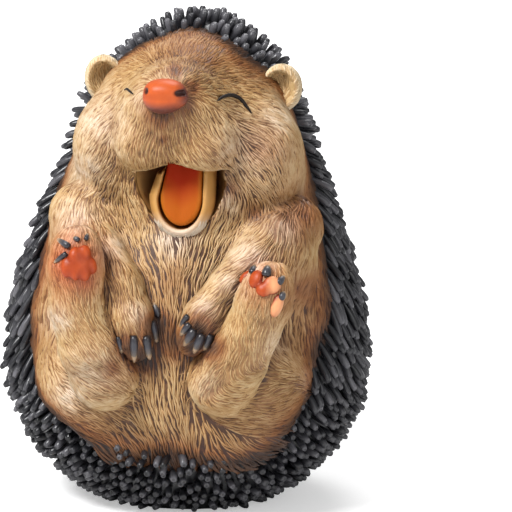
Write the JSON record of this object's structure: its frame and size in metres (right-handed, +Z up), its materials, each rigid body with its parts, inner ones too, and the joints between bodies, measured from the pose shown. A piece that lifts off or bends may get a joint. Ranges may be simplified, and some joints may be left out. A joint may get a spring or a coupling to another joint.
{
  "type": "animal figurine",
  "caption": "Laughing hedgehog ornament sitting rolled back on its rump, hands on its belly, soles to the front, with a coat of blunt spines behind.",
  "frame": {"origin": "centre of the flat seat that the figure stands on", "axes": "+Z up through the crown, the figure faces -Y, and its own left side is +X"},
  "size_m": [0.1212, 0.1293, 0.1641],
  "materials": {
    "spine_paint": "charcoal paint with a satin sheen on cast resin",
    "fur_paint": "tan paint with a brown wash in carved fur on cast resin",
    "nose_paint": "orange satin paint on cast resin",
    "tongue_paint": "orange semi-gloss paint on cast resin",
    "rim_paint": "cream satin paint on cast resin",
    "claw_paint": "dark grey satin paint on cast resin",
    "plug": "plain dark plug"
  },
  "bodies": {
    "root": {"quill_coat": "spine_paint", "belly": "fur_paint", "head": "fur_paint", "nose": "nose_paint", "lower_jaw": "rim_paint", "tongue": "tongue_paint", "left_ear": "fur_paint", "right_ear": "fur_paint", "left_arm": "fur_paint", "right_arm": "fur_paint", "left_hand_claws": "claw_paint", "right_hand_claws": "claw_paint", "left_leg": "fur_paint", "right_leg": "fur_paint", "left_foot_pads": "nose_paint", "right_foot_pads": "nose_paint", "left_foot_claws": "claw_paint", "right_foot_claws": "claw_paint", "base_plug": "plug"}
  },
  "joints": []
}
